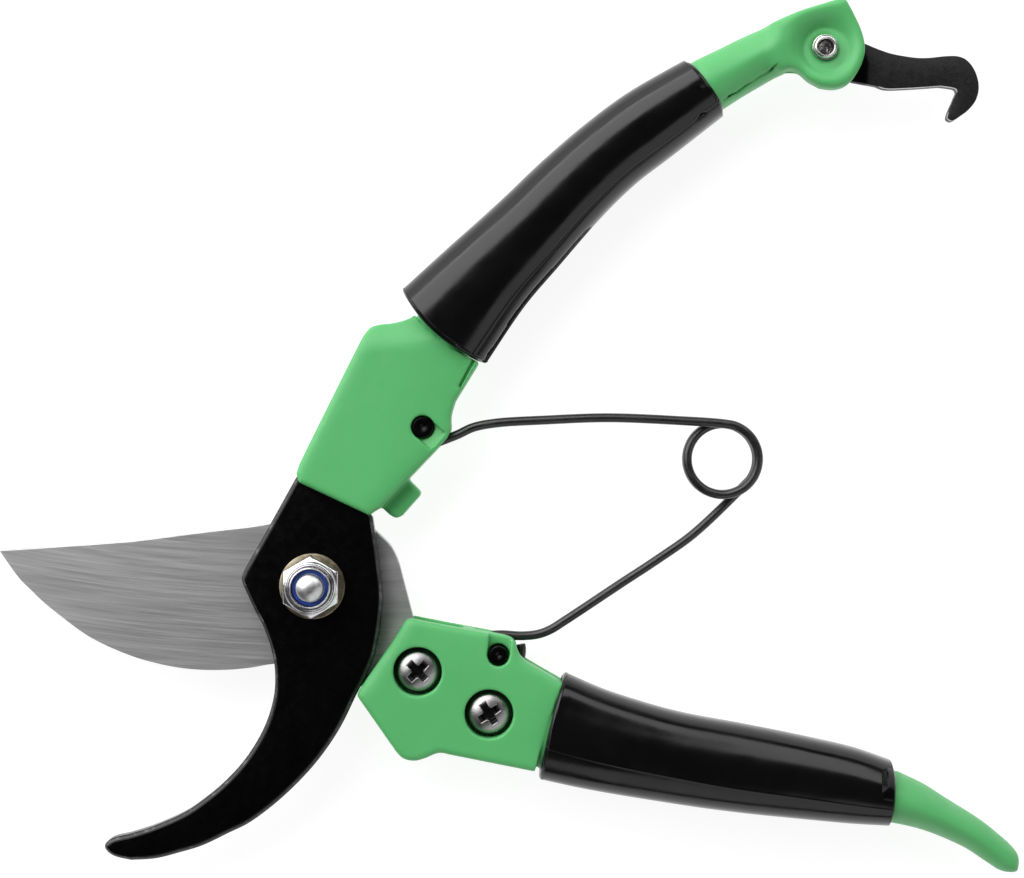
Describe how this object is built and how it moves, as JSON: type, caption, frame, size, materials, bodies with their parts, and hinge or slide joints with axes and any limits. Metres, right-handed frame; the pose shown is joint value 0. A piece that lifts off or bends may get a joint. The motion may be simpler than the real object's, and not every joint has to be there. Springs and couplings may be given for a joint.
{
  "type": "pruning shears",
  "caption": "Bypass pruning shears with hooked counter blade, curved cutting blade, sprung handles with vinyl grips, closing stop and hinged catch, shown open.",
  "frame": {"origin": "on the pivot axis, at the flat underside of the pivot bolt's head", "axes": "+Z along the pivot axis towards the nut and the hook blade's side; the handles run towards +X, the jaws open towards -X"},
  "size_m": [0.1878, 0.1604, 0.0214],
  "materials": {
    "coated_steel": "semi-gloss black coating",
    "blade_steel": "satin, ground lengthways",
    "green_plastic": "satin moulded",
    "black_vinyl": "glossy soft vinyl",
    "zinc_steel": "bright zinc plate",
    "yellow_zinc": "yellow passivated zinc",
    "blue_nylon": "satin",
    "nickel_steel": "bright nickel plate",
    "spring_steel": "black oxide, oiled",
    "catch_steel": "matt black coating with bare ground edges"
  },
  "bodies": {
    "hook_side": {"hook_blade": "coated_steel", "upper_handle": "green_plastic", "upper_grip": "black_vinyl", "pivot_bolt": "zinc_steel", "pivot_nut": "zinc_steel", "nut_insert": "blue_nylon", "front_washer": "yellow_zinc", "rear_washer": "yellow_zinc", "upper_spring_pin": "spring_steel", "catch_rivet": "nickel_steel", "catch_washer": "nickel_steel"},
    "blade_side": {"blade": "blade_steel", "lower_handle": "green_plastic", "lower_grip": "black_vinyl", "lower_spring_pin": "spring_steel", "handle_screw_front": "nickel_steel", "handle_screw_rear": "nickel_steel", "screw_washer_front": "spring_steel", "screw_washer_rear": "spring_steel", "screw_nut_front": "zinc_steel", "screw_nut_rear": "zinc_steel"},
    "spring_upper_half": {"spring_upper": "spring_steel"},
    "spring_lower_half": {"spring_lower": "spring_steel"},
    "catch": {"catch_hook": "catch_steel"}
  },
  "joints": [
    {"name": "pivot", "type": "hinge", "parent": "hook_side", "child": "blade_side", "pos_m": [0, 0, 0.0065], "axis": [0, 0, 1], "range_deg": [0, 59], "stiffness_Nm_per_rad": 1.2, "springref_deg": -20.05},
    {"name": "spring_eye", "type": "hinge", "parent": "hook_side", "child": "spring_upper_half", "pos_m": [0.0201, 0.029, 0.0103], "axis": [0, 0, 1], "range_deg": [0, 47.6]},
    {"name": "spring_coil", "type": "hinge", "parent": "spring_upper_half", "child": "spring_lower_half", "pos_m": [0.0751, 0.0231, 0.008], "axis": [0, 0, 1], "range_deg": [-35.8, 0]},
    {"name": "catch_pivot", "type": "hinge", "parent": "hook_side", "child": "catch", "pos_m": [0.0935, 0.0982, 0.008], "axis": [0, 0, 1], "range_deg": [-17, 25]}
  ],
  "couplings": [
    {"joint": "spring_eye", "follows": "pivot", "ratio": 0.806},
    {"joint": "spring_coil", "follows": "pivot", "ratio": -0.606}
  ]
}
